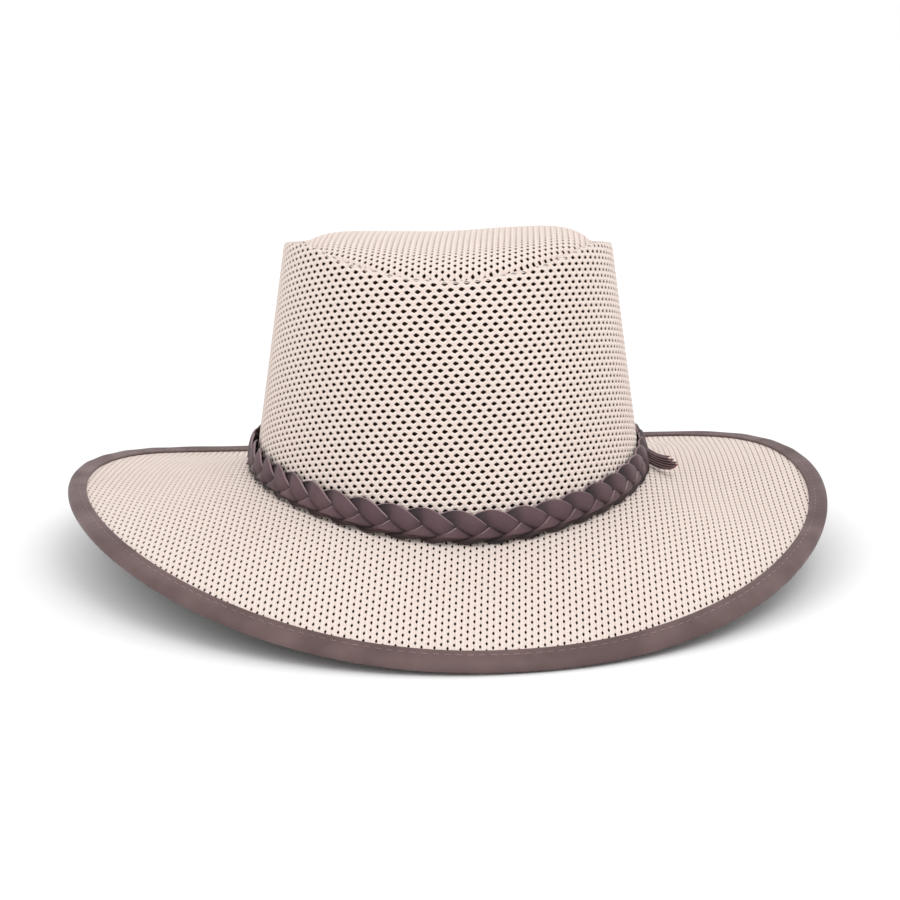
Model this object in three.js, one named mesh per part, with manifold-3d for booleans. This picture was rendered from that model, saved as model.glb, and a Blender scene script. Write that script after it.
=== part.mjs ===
// A wide-brimmed sun hat of pierced knit mesh, with a leather-look edge and a braided band.
// Millimetres, +Z up. The front of the hat faces -Y, and the hat rests on the edge of its brim.
import * as THREE from 'three';
import Module from 'manifold-3d';

const wasm = await Module();
wasm.setup();

// Cloth and trim
const MESH_THICKNESS = 2.6;          // double knit mesh, the same in crown and brim
const SEAM_GAP = 0.3;                // left between two pieces that touch
const BINDING_THICKNESS = 0.9;       // one layer of the edge binding
const BINDING_WIDTH = 8.2;           // how far the binding reaches in over the brim
const BINDING_NOSE = 0.8;            // height of the flat at the very edge of its fold

// Crown, measured on its outer face
const CROWN_FOOT_HALF_WIDTH = 87.2;
const CROWN_FOOT_HALF_LENGTH = 105;
const CROWN_LEAN_SIDE = 14.4;        // how far the side wall leans in at left and right
const CROWN_LEAN_FRONT = 17;         // the same at front and back
const CROWN_HEIGHT = 106;            // foot to rim at the middle of the front
const DOME_HEIGHT = 115;             // foot to the highest part of the tip
const GUTTER_DEPTH = 3;              // dip of the tip just inside its rim
const RIM_ROUNDING = 1.2;            // how far the rim is rounded off
const DOME_TILT = 1.2;               // how far the dome stands up at its +X side, down at -X

// Brim, measured to the outside of its binding
const BRIM_HALF_WIDTH = 171.5;
const BRIM_HALF_LENGTH = 182.5;
const CROWN_FOOT_LEVEL = 31;         // top of the brim at the foot of the crown's front
const FOOT_LIFT = 9;                 // how much higher that is at the crown's sides
const FOOT_LIFT_POWER = 1.6;         // 2 is an even wave, less lifts it nearer to the front
const SIDE_LIFT = 28.1;              // how far the side edges stand above front and back
const SIDE_LIFT_POWER = 2.4;         // more than 2 keeps front and back low for longer
const SADDLE_TURN = 9.6;             // degrees that the brim's low line is turned from the middle
const LEFT_LIFT = 1.2;               // the -X edge stands this much above the even wave
const BACK_DROP = 2.5;               // the crown's foot is this much lower at the back
const BACK_DISH = 2.2;               // how hollow the brim is at the back, 0 is a straight slope
const BACK_CURL = 1.8;               // how much the edge turns up behind each side

// Braided band round the foot of the crown
const BAND_HEIGHT = 13.8;
const BAND_BODY = 2.7;               // thickness at the hollows between two lobes
const BAND_LOBE = 1.6;               // how far a lobe swells past the body
const BAND_LOBES = 45;               // strand crossings along each edge

// Bundle of lace ends that leaves the band at the +X side
const TAIL_LENGTH = 12.5;
const TAIL_TURN = 87;                // degrees round the crown from the middle of the front
const TAIL_SWING = 3;                // degrees that the ends swing towards the front
const TAIL_FAN = 2;                  // the top lace's end lies this far behind the bottom one's
const TAIL_ROOT_LIFT = 1.4;          // lowest lace above the brim at the root
const TAIL_END_LIFT = 0.9;           // and at its end
const TAIL_HEAD_WIDTH = 2.9;         // of the block that the laces are fused to
const LACE_WIDTH = 3.2;
const LACE_THICKNESS = 1;
const LACE_PITCH = 1.15;             // height from one lace to the next
const LACE_COUNT = 6;

const STATIONS = 80;                 // sections round the crown and the brim
const BAND_STATIONS_PER_LOBE = 4;
const WHOLE_TURN = Math.PI * 2;

// Height of the crown's rim, by degrees round from the front, as a share of CROWN_HEIGHT.
const RIM_LINE = [
  { turn: 0, share: 1.0 },
  { turn: 30, share: 1.035 },
  { turn: 57, share: 1.082 },
  { turn: 75, share: 1.053 },
  { turn: 90, share: 1.022 },
  { turn: 118, share: 0.972 },
  { turn: 180, share: 0.94 },
];

// Where the crown's foot is lower, by degrees round from the front, as a share of BACK_DROP.
const DROP_LINE = [
  { turn: 0, share: 0 },
  { turn: 60, share: 0 },
  { turn: 90, share: 0 },
  { turn: 120, share: 1 },
  { turn: 150, share: 1 },
  { turn: 180, share: 1 },
];

// Where the brim is dished, by degrees round from the front, as a share of BACK_DISH.
const DISH_LINE = [
  { turn: 0, share: 0 },
  { turn: 60, share: 0 },
  { turn: 90, share: 1.2 },
  { turn: 120, share: 1 },
  { turn: 150, share: 0.67 },
  { turn: 180, share: 0.6 },
];

// Where the edge curls up, by degrees round from the front, as a share of BACK_CURL.
const CURL_LINE = [
  { turn: 0, share: 0 },
  { turn: 75, share: 0 },
  { turn: 95, share: 0.6 },
  { turn: 115, share: 1 },
  { turn: 135, share: 0.5 },
  { turn: 150, share: 0 },
  { turn: 180, share: 0 },
];

// Height of the dome from front (-1) to back (1), as a share of DOME_HEIGHT.
const DOME_LINE = [
  { along: -1.0, share: 0.975 },
  { along: -0.6, share: 0.995 },
  { along: -0.25, share: 1.0 },
  { along: 0.1, share: 0.985 },
  { along: 0.45, share: 0.945 },
  { along: 1.0, share: 0.86 },
];

// Height of the dome from the -X side (-1) to the +X side (1), as a share of DOME_TILT.
const TILT_LINE = [
  { across: -1.0, share: -1.2 },
  { across: -0.4, share: -1.4 },
  { across: 0.0, share: -1.3 },
  { across: 0.4, share: 0.2 },
  { across: 0.75, share: 1.0 },
  { across: 1.0, share: 1.0 },
];

// Rings of the tip: reach is the share of its half plan, dome blends from the rim line to the
// dome line, and gutter is the share of GUTTER_DEPTH.
const TIP_RINGS = [
  { reach: 1.0, dome: 0, gutter: 0 },
  { reach: 0.965, dome: 0, gutter: 1 },
  { reach: 0.9, dome: 0.42, gutter: 0.4 },
  { reach: 0.82, dome: 0.76, gutter: 0.1 },
  { reach: 0.7, dome: 0.97, gutter: 0 },
  { reach: 0.48, dome: 1, gutter: 0 },
  { reach: 0.24, dome: 1, gutter: 0 },
];

// Section of the side wall: rise is the share of its height, round is 1 where the rim's
// rounding is taken off, and depth is the share of MESH_THICKNESS.
const WALL_SECTION = [
  { rise: 0, round: 0, depth: 0 },
  { rise: 0.5, round: 0, depth: 0 },
  { rise: 1, round: 1, depth: 0 },
  { rise: 1, round: 0, depth: 0.3 },
  { rise: 1, round: 0, depth: 0.7 },
  { rise: 1, round: 1, depth: 1 },
  { rise: 0.5, round: 0, depth: 1 },
  { rise: 0, round: 0, depth: 1 },
];

// Section of the band: out is the share of BAND_BODY, swell the share of BAND_LOBE, up the
// share of BAND_HEIGHT, scallop how much a lobe adds to it, and phase the place along the
// braid, in lobes, where it swells most.
const BAND_SECTION = [
  { out: 0.0, swell: 0.0, up: 0.0, scallop: 0.0, phase: 0.0 },
  { out: 0.7, swell: 0.0, up: 0.0, scallop: 0.0, phase: 0.75 },
  { out: 1.1, swell: 0.7, up: 0.1, scallop: 0.0, phase: 0.75 },
  { out: 1.1, swell: 1.0, up: 0.28, scallop: 0.0, phase: 1.0 },
  { out: 0.85, swell: 0.6, up: 0.44, scallop: 0.0, phase: 0.25 },
  { out: 0.9, swell: 1.0, up: 0.62, scallop: 0.0, phase: 0.0 },
  { out: 0.7, swell: 0.8, up: 0.84, scallop: 0.04, phase: 0.75 },
  { out: 0.3, swell: 0.1, up: 0.94, scallop: 0.09, phase: 0.75 },
  { out: 0.0, swell: 0.0, up: 0.9, scallop: 0.0, phase: 0.75 },
];

// Line of a lace from root to end: drop blends from the root's lift to the end's.
const LACE_LINE = [
  { along: 0, drop: 0 },
  { along: 0.33, drop: 0.19 },
  { along: 0.7, drop: 0.62 },
  { along: 1, drop: 1 },
];

const radians = (degrees) => (degrees * Math.PI) / 180;
const mix = (a, b, share) => a + (b - a) * share;

// Smooth curve through the rows of a table, flat at both ends.
function smoothTable(rows, column, x) {
  const last = rows.length - 1;
  const inside = Math.min(Math.max(x, rows[0][column]), rows[last][column]);
  const i = Math.max(rows.findIndex((row) => row[column] >= inside), 1);
  const slope = (k) => {
    if (k === 0 || k === last) return 0;
    return (rows[k + 1].share - rows[k - 1].share) / (rows[k + 1][column] - rows[k - 1][column]);
  };
  const span = rows[i][column] - rows[i - 1][column];
  const t = (inside - rows[i - 1][column]) / span;
  const ease = t * t * (3 - 2 * t);
  const start = t * (1 - t) * (1 - t) * span * slope(i - 1);
  const end = t * t * (t - 1) * span * slope(i);
  return mix(rows[i - 1].share, rows[i].share, ease) + start + end;
}

// A turn of 0 is the middle of the front, and a quarter turn is the +X side.
const oval = (turn, halfWidth, halfLength) => [
  halfWidth * Math.sin(turn),
  -halfLength * Math.cos(turn),
];

const evenTurns = (count) => Array.from({ length: count }, (_, i) => (i / count) * WHOLE_TURN);

// How far across the turned saddle of the brim a place lies, 0 on its low line.
const saddle = (turn) => Math.abs(Math.sin(turn - radians(SADDLE_TURN)));

// A table's curve from the front round to the back, the same on both sides.
function roundTable(rows, turn) {
  const degreesFromFront = (Math.acos(Math.cos(turn)) * 180) / Math.PI;
  return smoothTable(rows, 'turn', degreesFromFront);
}

function footLevel(turn) {
  const lift = FOOT_LIFT * saddle(turn) ** FOOT_LIFT_POWER;
  return CROWN_FOOT_LEVEL + lift - BACK_DROP * roundTable(DROP_LINE, turn);
}

const rimLevel = (turn) => CROWN_FOOT_LEVEL + CROWN_HEIGHT * roundTable(RIM_LINE, turn);

// A point of the crown's side wall: rise is the share of the way up, depth goes into the cloth.
function crownPoint(turn, rise, depth) {
  const [x, y] = oval(
    turn,
    CROWN_FOOT_HALF_WIDTH - CROWN_LEAN_SIDE * rise - depth,
    CROWN_FOOT_HALF_LENGTH - CROWN_LEAN_FRONT * rise - depth,
  );
  return [x, y, SEAM_GAP + mix(footLevel(turn), rimLevel(turn), rise)];
}

// The cloth of the brim ends inside the fold of its binding.
const EDGE_INSET = BINDING_THICKNESS + SEAM_GAP;

function edgeLevel(turn) {
  const lowest = MESH_THICKNESS + EDGE_INSET;
  const lift = SIDE_LIFT * saddle(turn) ** SIDE_LIFT_POWER;
  const curl = BACK_CURL * roundTable(CURL_LINE, turn);
  return lowest + lift + curl - LEFT_LIFT * Math.sin(turn);
}

const footOval = (turn) => oval(turn, CROWN_FOOT_HALF_WIDTH, CROWN_FOOT_HALF_LENGTH);
const edgeOval = (turn) => oval(turn, BRIM_HALF_WIDTH, BRIM_HALF_LENGTH);

function brimWidth(turn) {
  const [footX, footY] = footOval(turn);
  const [edgeX, edgeY] = edgeOval(turn);
  return Math.hypot(edgeX - footX, edgeY - footY);
}

// A point on top of the brim, inset millimetres in from the outside of its binding.
function brimTop(turn, inset) {
  const share = 1 - inset / brimWidth(turn);
  const dish = BACK_DISH * roundTable(DISH_LINE, turn) * share * (1 - share);
  const [footX, footY] = footOval(turn);
  const [edgeX, edgeY] = edgeOval(turn);
  return [
    mix(footX, edgeX, share),
    mix(footY, edgeY, share),
    mix(footLevel(turn), edgeLevel(turn), share + dish),
  ];
}

// A point out from the crown's wall and up from the brim's top, for what lies on both.
function besideCrown(turn, out, up) {
  const [brimX, brimY, brimZ] = brimTop(turn, brimWidth(turn) - out);
  const wallFoot = footLevel(turn) + SEAM_GAP;
  const rise = (brimZ + up - wallFoot) / (rimLevel(turn) - footLevel(turn));
  const [wallX, wallY] = crownPoint(turn, Math.max(rise, 0), 0);
  const [footX, footY] = footOval(turn);
  return [brimX + wallX - footX, brimY + wallY - footY, brimZ + up];
}

// Turns that lie the same length apart round the crown's foot.
function pacedTurns(count) {
  const steps = 3600;
  const lengths = [0];
  for (let i = 0; i < steps; i += 1) {
    const turn = ((i + 0.5) / steps) * WHOLE_TURN;
    const along = CROWN_FOOT_HALF_WIDTH * Math.cos(turn);
    const across = CROWN_FOOT_HALF_LENGTH * Math.sin(turn);
    lengths.push(lengths[i] + Math.hypot(along, across));
  }
  return Array.from({ length: count }, (_, i) => {
    const wanted = (i / count) * lengths[steps];
    return (lengths.findIndex((length) => length >= wanted) / steps) * WHOLE_TURN;
  });
}

function geometryFrom(points, faces) {
  const geometry = new THREE.BufferGeometry();
  geometry.setAttribute('position', new THREE.Float32BufferAttribute(points.flat(), 3));
  geometry.setIndex(faces.flat());
  geometry.computeVertexNormals();
  return geometry;
}

// A closed solid that runs all the way round: section(turn, i) gives its loop of points,
// listed from the outside over the top to the inside.
function ringSolid(turns, section) {
  const loops = turns.map(section);
  const around = loops[0].length;
  const faces = [];
  for (let i = 0; i < loops.length; i += 1) {
    const here = i * around;
    const next = ((i + 1) % loops.length) * around;
    for (let j = 0; j < around; j += 1) {
      const k = (j + 1) % around;
      faces.push([here + j, next + j, next + k], [here + j, next + k, here + k]);
    }
  }
  return geometryFrom(loops.flat(), faces);
}

// The side wall: straight from foot to rim, with a rounded rim.
function crownSide() {
  return ringSolid(evenTurns(STATIONS), (turn) => WALL_SECTION.map((row) => {
    const [x, y, z] = crownPoint(turn, row.rise, MESH_THICKNESS * row.depth);
    return [x, y, z - RIM_ROUNDING * row.round];
  }));
}

// The tip fills the rim of the side wall: a gutter just inside it, then the dome.
function crownTip() {
  const depth = MESH_THICKNESS + SEAM_GAP;
  const halfWidth = CROWN_FOOT_HALF_WIDTH - CROWN_LEAN_SIDE - depth;
  const halfLength = CROWN_FOOT_HALF_LENGTH - CROWN_LEAN_FRONT - depth;
  const domeLevel = (x, y) => {
    const height = DOME_HEIGHT * smoothTable(DOME_LINE, 'along', y / halfLength);
    return CROWN_FOOT_LEVEL + height + DOME_TILT * smoothTable(TILT_LINE, 'across', x / halfWidth);
  };
  const turns = evenTurns(STATIONS);
  const ringPoints = (ring, drop) => turns.map((turn) => {
    const [x, y] = oval(turn, halfWidth * ring.reach, halfLength * ring.reach);
    const rim = rimLevel(turn) - RIM_ROUNDING;
    const level = mix(rim, domeLevel(x, y), ring.dome);
    return [x, y, SEAM_GAP + level - GUTTER_DEPTH * ring.gutter - drop];
  });
  const face = (drop) => [
    ...TIP_RINGS.flatMap((ring) => ringPoints(ring, drop)),
    [0, 0, SEAM_GAP + domeLevel(0, 0) - drop],
  ];

  const top = face(0);
  const under = top.length;
  const centre = under - 1;
  const inner = (TIP_RINGS.length - 1) * STATIONS;
  const faces = [];
  for (let i = 0; i < STATIONS; i += 1) {
    const n = (i + 1) % STATIONS;
    for (let a = 0; a < inner; a += STATIONS) {
      const b = a + STATIONS;
      faces.push([a + i, a + n, b + n], [a + i, b + n, b + i]);
      faces.push([under + a + i, under + b + n, under + a + n]);
      faces.push([under + a + i, under + b + i, under + b + n]);
    }
    faces.push([inner + i, inner + n, centre]);
    faces.push([under + inner + i, under + centre, under + inner + n]);
    faces.push([i, under + n, n], [i, under + i, under + n]);
  }
  return geometryFrom([...top, ...face(MESH_THICKNESS)], faces);
}

// The brim: a seat under the crown's wall, then the slope out to its edge.
function brim() {
  const slopeSteps = [0.8, 0.6, 0.4, 0.2, 0];
  return ringSolid(evenTurns(STATIONS), (turn) => {
    const innerInsets = slopeSteps.map((step) => mix(brimWidth(turn), EDGE_INSET, step));
    const insets = [EDGE_INSET, BINDING_WIDTH, ...innerInsets];
    const slope = insets.map((inset) => brimTop(turn, inset));
    const [seatX, seatY] = oval(
      turn,
      CROWN_FOOT_HALF_WIDTH - MESH_THICKNESS,
      CROWN_FOOT_HALF_LENGTH - MESH_THICKNESS,
    );
    const top = [...slope, [seatX, seatY, footLevel(turn)]];
    const bottom = top.map(([x, y, z]) => [x, y, z - MESH_THICKNESS]).reverse();
    return [...top, ...bottom];
  });
}

// The binding wraps the edge of the brim, one leg above it and one below.
function brimBinding() {
  const inner = SEAM_GAP;
  const outer = SEAM_GAP + BINDING_THICKNESS;
  const under = -MESH_THICKNESS;
  return ringSolid(evenTurns(STATIONS), (turn) => {
    const at = (inset, above) => {
      const [x, y, z] = brimTop(turn, inset);
      return [x, y, z + above];
    };
    return [
      at(0, (under - BINDING_NOSE) / 2),
      at(0, (under + BINDING_NOSE) / 2),
      at(EDGE_INSET, outer),
      at(BINDING_WIDTH, outer),
      at(BINDING_WIDTH, inner),
      at(BINDING_THICKNESS, inner),
      at(BINDING_THICKNESS, under - inner),
      at(BINDING_WIDTH, under - inner),
      at(BINDING_WIDTH, under - outer),
      at(EDGE_INSET, under - outer),
    ];
  });
}

// The band: one woven ring whose lobes stand along both of its edges.
function hatBand() {
  return ringSolid(pacedTurns(BAND_LOBES * BAND_STATIONS_PER_LOBE), (turn, i) => {
    const place = i / BAND_STATIONS_PER_LOBE;
    return BAND_SECTION.map((row) => {
      const lobe = Math.abs(Math.cos(Math.PI * (place - row.phase)));
      const out = SEAM_GAP + BAND_BODY * row.out + BAND_LOBE * row.swell * lobe;
      const up = SEAM_GAP + BAND_HEIGHT * (row.up + row.scallop * lobe);
      return besideCrown(turn, out, up);
    });
  });
}

// A flat strip along a row of centres, its width along Y and its thickness along Z.
function stripSolid(centres, width, thickness) {
  const points = centres.flatMap(([x, y, z]) => [
    [x, y - width / 2, z - thickness / 2],
    [x, y + width / 2, z - thickness / 2],
    [x, y + width / 2, z + thickness / 2],
    [x, y - width / 2, z + thickness / 2],
  ]);
  const faces = [[0, 3, 2], [0, 2, 1]];
  const last = points.length - 4;
  for (let here = 0; here < last; here += 4) {
    for (let j = 0; j < 4; j += 1) {
      const k = (j + 1) % 4;
      faces.push([here + j, here + k, here + 4 + k], [here + j, here + 4 + k, here + 4 + j]);
    }
  }
  faces.push([last, last + 1, last + 2], [last, last + 2, last + 3]);
  return new wasm.Manifold(new wasm.Mesh({
    numProp: 3,
    vertProperties: new Float32Array(points.flat()),
    triVerts: new Uint32Array(faces.flat()),
  }));
}

// The lace ends: a stack of flat laces fused at the root, drooping on to the brim.
function bandTail() {
  const widestOut = Math.max(...BAND_SECTION.map((row) => row.out));
  const rootOut = SEAM_GAP * 2 + BAND_BODY * widestOut + BAND_LOBE;
  const stackHeight = (LACE_COUNT - 1) * LACE_PITCH;
  const centre = (row, lift) => besideCrown(
    radians(TAIL_TURN - TAIL_SWING * row.along),
    rootOut + TAIL_LENGTH * row.along,
    mix(TAIL_ROOT_LIFT, TAIL_END_LIFT, row.drop) + lift,
  );
  const laces = Array.from({ length: LACE_COUNT }, (_, i) => {
    const level = i / (LACE_COUNT - 1);
    const centres = LACE_LINE.map((row) => {
      const [x, y, z] = centre(row, LACE_PITCH * i);
      return [x, y + TAIL_FAN * (level - 0.5) * row.along, z];
    });
    return stripSolid(centres, LACE_WIDTH, LACE_THICKNESS);
  });
  const headCentres = LACE_LINE.slice(0, 2).map((row) => centre(row, stackHeight / 2));
  const head = stripSolid(headCentres, TAIL_HEAD_WIDTH, stackHeight);
  const joined = laces.reduce((sum, lace) => sum.add(lace), head).getMesh();
  const geometry = new THREE.BufferGeometry();
  geometry.setAttribute('position', new THREE.BufferAttribute(joined.vertProperties, 3));
  geometry.setIndex(new THREE.BufferAttribute(joined.triVerts, 1));
  geometry.computeVertexNormals();
  return geometry;
}

const knit = () => new THREE.MeshStandardMaterial({ color: 0xe8d8ce, roughness: 0.9 });
const leather = (color) => new THREE.MeshStandardMaterial({ color, roughness: 0.55 });

const hat = new THREE.Group();

function addPiece(name, geometry, material) {
  const mesh = new THREE.Mesh(geometry, material);
  mesh.name = name;
  hat.add(mesh);
}

addPiece('crown_side', crownSide(), knit());
addPiece('crown_tip', crownTip(), knit());
addPiece('brim', brim(), knit());
addPiece('brim_binding', brimBinding(), leather(0x73605f));
addPiece('hat_band', hatBand(), leather(0x5f5052));
addPiece('band_tail', bandTail(), leather(0x6b4a45));

// The hat stands on the lowest points of its bound edge.
hat.position.z = -new THREE.Box3().setFromObject(hat).min.z;

export default hat;
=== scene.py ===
# %% [markdown]
# # A wide-brimmed sun hat of open knit
# The real hat is sewn from a two-layer knit: a cream face full of small pointed holes over a
# dark backing. A leather-look strip is folded over the brim's edge, and a flat braid of three
# laces goes round the foot of the crown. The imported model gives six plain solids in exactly
# the right places. This notebook dresses each of them, working in metres, +Z up, with the
# front of the hat towards -Y.

import bpy
import numpy as np
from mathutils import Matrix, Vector


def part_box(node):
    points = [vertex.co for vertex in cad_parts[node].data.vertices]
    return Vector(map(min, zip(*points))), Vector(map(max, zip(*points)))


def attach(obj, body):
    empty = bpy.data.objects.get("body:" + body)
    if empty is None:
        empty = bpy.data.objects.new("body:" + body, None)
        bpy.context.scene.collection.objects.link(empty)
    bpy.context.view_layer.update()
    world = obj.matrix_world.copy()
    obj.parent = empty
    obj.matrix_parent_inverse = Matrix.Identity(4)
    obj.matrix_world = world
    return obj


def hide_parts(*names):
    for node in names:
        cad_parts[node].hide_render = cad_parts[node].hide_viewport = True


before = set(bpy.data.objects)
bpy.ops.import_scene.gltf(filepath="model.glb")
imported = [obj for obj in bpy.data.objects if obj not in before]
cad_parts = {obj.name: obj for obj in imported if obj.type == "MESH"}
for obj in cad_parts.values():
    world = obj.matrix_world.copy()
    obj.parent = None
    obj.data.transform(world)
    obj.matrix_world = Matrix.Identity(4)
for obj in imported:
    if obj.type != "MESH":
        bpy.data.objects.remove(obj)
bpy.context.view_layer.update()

print("solids to dress:", sorted(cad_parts))

# %% [markdown]
# ## The camera
# The photograph was taken from the front, about fourteen degrees above the brim. A long lens
# from about a metre gives the same mild perspective. The small shift moves the hat by two
# pixels in a picture of 900, which is how the photograph is framed.

# %% Place the camera
MM = 0.001
CAMERA_DISTANCE = 1050 * MM
CAMERA_ELEVATION = np.radians(14.1)
CAMERA_AIM_HEIGHT = 44.2 * MM
SENSOR_WIDTH = 36
PICTURE_PX = 900
LENS_PX = 2300
SHIFT_PX = 2
FAR_CLIP = 60


def in_scene(name, data):
    made = bpy.data.objects.new(name, data)
    bpy.context.scene.collection.objects.link(made)
    return made


camera_data = bpy.data.cameras.new("camera")
camera_data.sensor_width = SENSOR_WIDTH
camera_data.lens = SENSOR_WIDTH * LENS_PX / PICTURE_PX
camera_data.shift_x = SHIFT_PX / PICTURE_PX
camera_data.clip_end = FAR_CLIP
camera = in_scene("camera", camera_data)
aim = Vector((0, 0, CAMERA_AIM_HEIGHT))
back = Vector((0, -np.cos(CAMERA_ELEVATION), np.sin(CAMERA_ELEVATION)))
camera.location = aim + CAMERA_DISTANCE * back
camera.rotation_euler = (-back).to_track_quat("-Z", "Y").to_euler()
bpy.context.scene.camera = camera
print("camera height", round(camera.location.z, 3), "lens", round(camera_data.lens, 1))

# %% [markdown]
# ## The hat's own rule
# The solids were drawn from named sizes and a few short tables, and the dressed pieces follow
# the same rule. A place on the hat is given by its turn round the crown, 0 at the middle of
# the front and a quarter turn at the wearer's left.

# %% Sizes and curves of the hat
MESH = 2.6 * MM
SEAM_GAP = 0.3 * MM
FOOT_HALF_WIDTH = 87.2 * MM
FOOT_HALF_LENGTH = 105 * MM
LEAN_SIDE = 14.4 * MM
LEAN_FRONT = 17 * MM
CROWN_HEIGHT = 106 * MM
DOME_HEIGHT = 115 * MM
GUTTER_DEPTH = 3 * MM
RIM_ROUNDING = 1.2 * MM
BRIM_HALF_WIDTH = 171.5 * MM
BRIM_HALF_LENGTH = 182.5 * MM
FOOT_LEVEL = 31 * MM
FOOT_LIFT = 9 * MM
FOOT_LIFT_POWER = 1.6
SIDE_LIFT = 28.1 * MM
SIDE_LIFT_POWER = 2.4
SADDLE_TURN = np.radians(9.6)
LEFT_LIFT = 1.2 * MM
BACK_DROP = 2.5 * MM
BACK_DISH = 2.2
BACK_CURL = 1.8 * MM
EDGE_INSET = 1.2 * MM
BINDING_WIDTH = 8.2 * MM
DOME_TILT = 1.2 * MM

# Tables that run round the hat, by degrees from the front.
RIM_LINE = [(0, 1), (30, 1.035), (57, 1.082), (75, 1.053), (90, 1.022), (118, 0.972), (180, 0.94)]
DROP_LINE = [(0, 0), (60, 0), (90, 0), (120, 1), (150, 1), (180, 1)]
DISH_LINE = [(0, 0), (60, 0), (90, 1.2), (120, 1), (150, 0.67), (180, 0.6)]
CURL_LINE = [(0, 0), (75, 0), (95, 0.6), (115, 1), (135, 0.5), (150, 0), (180, 0)]

# Tables that run over the dome, from front to back and from right to left of the wearer.
DOME_LINE = [(-1, 0.975), (-0.6, 0.995), (-0.25, 1), (0.1, 0.985), (0.45, 0.945), (1, 0.86)]
TILT_LINE = [(-1, -1.2), (-0.4, -1.4), (0, -1.3), (0.4, 0.2), (0.75, 1), (1, 1)]


def smooth_table(rows, x):
    """A smooth curve through (place, share) rows, flat at both ends."""
    places, shares = np.array(rows, float).T
    slopes = np.zeros(len(places))
    slopes[1:-1] = (shares[2:] - shares[:-2]) / (places[2:] - places[:-2])
    x = np.clip(x, places[0], places[-1])
    i = np.clip(np.searchsorted(places, x), 1, len(places) - 1)
    span = places[i] - places[i - 1]
    t = (x - places[i - 1]) / span
    ease = t * t * (3 - 2 * t)
    return (shares[i - 1] + (shares[i] - shares[i - 1]) * ease
            + t * (1 - t) ** 2 * span * slopes[i - 1] + t * t * (t - 1) * span * slopes[i])


def mix(a, b, share):
    return a + (b - a) * share


def oval(turn, half_width, half_length):
    return half_width * np.sin(turn), -half_length * np.cos(turn)


def foot_oval(turn):
    return oval(turn, FOOT_HALF_WIDTH, FOOT_HALF_LENGTH)


def edge_oval(turn):
    return oval(turn, BRIM_HALF_WIDTH, BRIM_HALF_LENGTH)


def saddle(turn):
    return np.abs(np.sin(turn - SADDLE_TURN))


def round_table(rows, turn):
    return smooth_table(rows, np.degrees(np.arccos(np.cos(turn))))


def foot_level(turn):
    lift = FOOT_LIFT * saddle(turn) ** FOOT_LIFT_POWER
    return FOOT_LEVEL + lift - BACK_DROP * round_table(DROP_LINE, turn)


def rim_level(turn):
    return FOOT_LEVEL + CROWN_HEIGHT * round_table(RIM_LINE, turn)


def edge_level(turn):
    lift = SIDE_LIFT * saddle(turn) ** SIDE_LIFT_POWER
    curl = BACK_CURL * round_table(CURL_LINE, turn)
    return MESH + EDGE_INSET + lift + curl - LEFT_LIFT * np.sin(turn)


# The hat stands on its bound edge, so everything is raised as its solids are.
even_turns = np.linspace(-np.pi, np.pi, 721)
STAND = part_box("crown_side")[0].z - SEAM_GAP - foot_level(even_turns).min()
print("raised to stand by", round(STAND / MM, 2), "mm")

# %% [markdown]
# Three small functions turn the rule into points: one on the crown's wall, one on top of the
# brim, and one beside the crown for what rests against both, such as the braid.

# %% Points on the crown and the brim
def crown_point(turn, rise, depth, drop=0):
    x, y = oval(turn, FOOT_HALF_WIDTH - LEAN_SIDE * rise - depth,
                FOOT_HALF_LENGTH - LEAN_FRONT * rise - depth)
    level = mix(foot_level(turn), rim_level(turn), rise)
    return np.stack([x, y, STAND + SEAM_GAP + level - drop], -1)


def brim_width(turn):
    return np.hypot(*(np.array(edge_oval(turn)) - foot_oval(turn)))


def brim_top(turn, inset, above=0):
    share = 1 - inset / brim_width(turn)
    foot_x, foot_y = foot_oval(turn)
    edge_x, edge_y = edge_oval(turn)
    dish = BACK_DISH * round_table(DISH_LINE, turn) * share * (1 - share)
    level = mix(foot_level(turn), edge_level(turn), share + dish)
    return np.stack([mix(foot_x, edge_x, share), mix(foot_y, edge_y, share),
                     STAND + level + above], -1)


def beside_crown(turn, out, up):
    on_brim = brim_top(turn, brim_width(turn) - out)
    wall_foot = STAND + foot_level(turn) + SEAM_GAP
    rise = (on_brim[..., 2] + up - wall_foot) / (rim_level(turn) - foot_level(turn))
    wall = crown_point(turn, np.maximum(rise, 0), 0)
    foot_x, foot_y = foot_oval(turn)
    return np.stack([on_brim[..., 0] + wall[..., 0] - foot_x,
                     on_brim[..., 1] + wall[..., 1] - foot_y,
                     on_brim[..., 2] + up], -1)


print("front of the brim at", np.round(brim_top(np.array([0.0]), 0)[0] / MM, 1))

# %% [markdown]
# ## From points to meshes
# Every surface here is made of rows of points, so a few helpers can list the faces. A pattern
# piece also keeps, for each point, where it lay on the flat cloth before sewing. That flat
# place is what later carries the holes, the laces and the stitches on to the hat.

# %% Mesh helpers
def link_mesh(name, points, faces, smooth=True):
    mesh = bpy.data.meshes.new(name)
    mesh.from_pydata(np.asarray(points).reshape(-1, 3).tolist(), [], faces)
    mesh.update()
    if smooth:
        mesh.shade_smooth()
    return in_scene(name, mesh)


def grid_faces(rows, columns):
    """Faces that look towards you when columns go right and rows go up."""
    return [(r * columns + c, r * columns + c + 1, (r + 1) * columns + c + 1, (r + 1) * columns + c)
            for r in range(rows - 1) for c in range(columns - 1)]


def bar_faces(rings, around, first=0, ends=True):
    """Faces of a bar made of rings of points, with a cap on both ends if it has ends."""
    faces = [(first + r * around + j, first + r * around + (j + 1) % around,
              first + (r + 1) * around + (j + 1) % around, first + (r + 1) * around + j)
             for r in range(rings - 1) for j in range(around)]
    if ends:
        cap = range(first, first + around)
        faces += [tuple(cap[::-1]), tuple(i + (rings - 1) * around for i in cap)]
    return faces


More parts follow.
